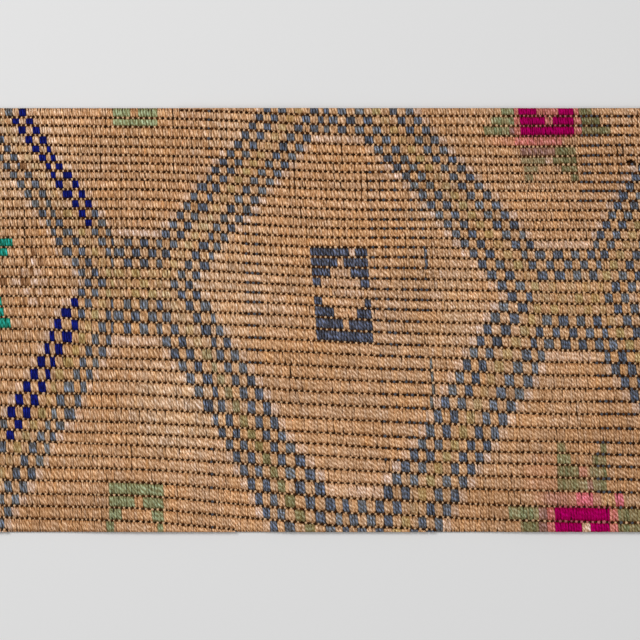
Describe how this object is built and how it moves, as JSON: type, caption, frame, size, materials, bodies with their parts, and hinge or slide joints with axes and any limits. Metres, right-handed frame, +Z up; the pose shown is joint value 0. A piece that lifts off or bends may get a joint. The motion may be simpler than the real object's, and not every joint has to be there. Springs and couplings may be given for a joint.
{
  "type": "kilim, cut length",
  "caption": "Cut length of a brocaded wool kilim lying flat, with raised ribs of wrapping yarn in a stepped diamond lattice over a dark ground weave.",
  "frame": {"origin": "centre of the cut length's flat underside", "axes": "+X along the ribs, which is the warp direction, towards the picture's right; +Y along the wrapping yarns, towards the picture's top; +Z up, out of the face"},
  "size_m": [0.332, 0.212, 0.003],
  "materials": {
    "wool": "matte brocaded wool in apricot beige with slate blue, royal blue, magenta, sage green, olive and pale yarns over a dark brown ground"
  },
  "bodies": {
    "root": {"kilim_cloth": "wool"}
  },
  "joints": []
}
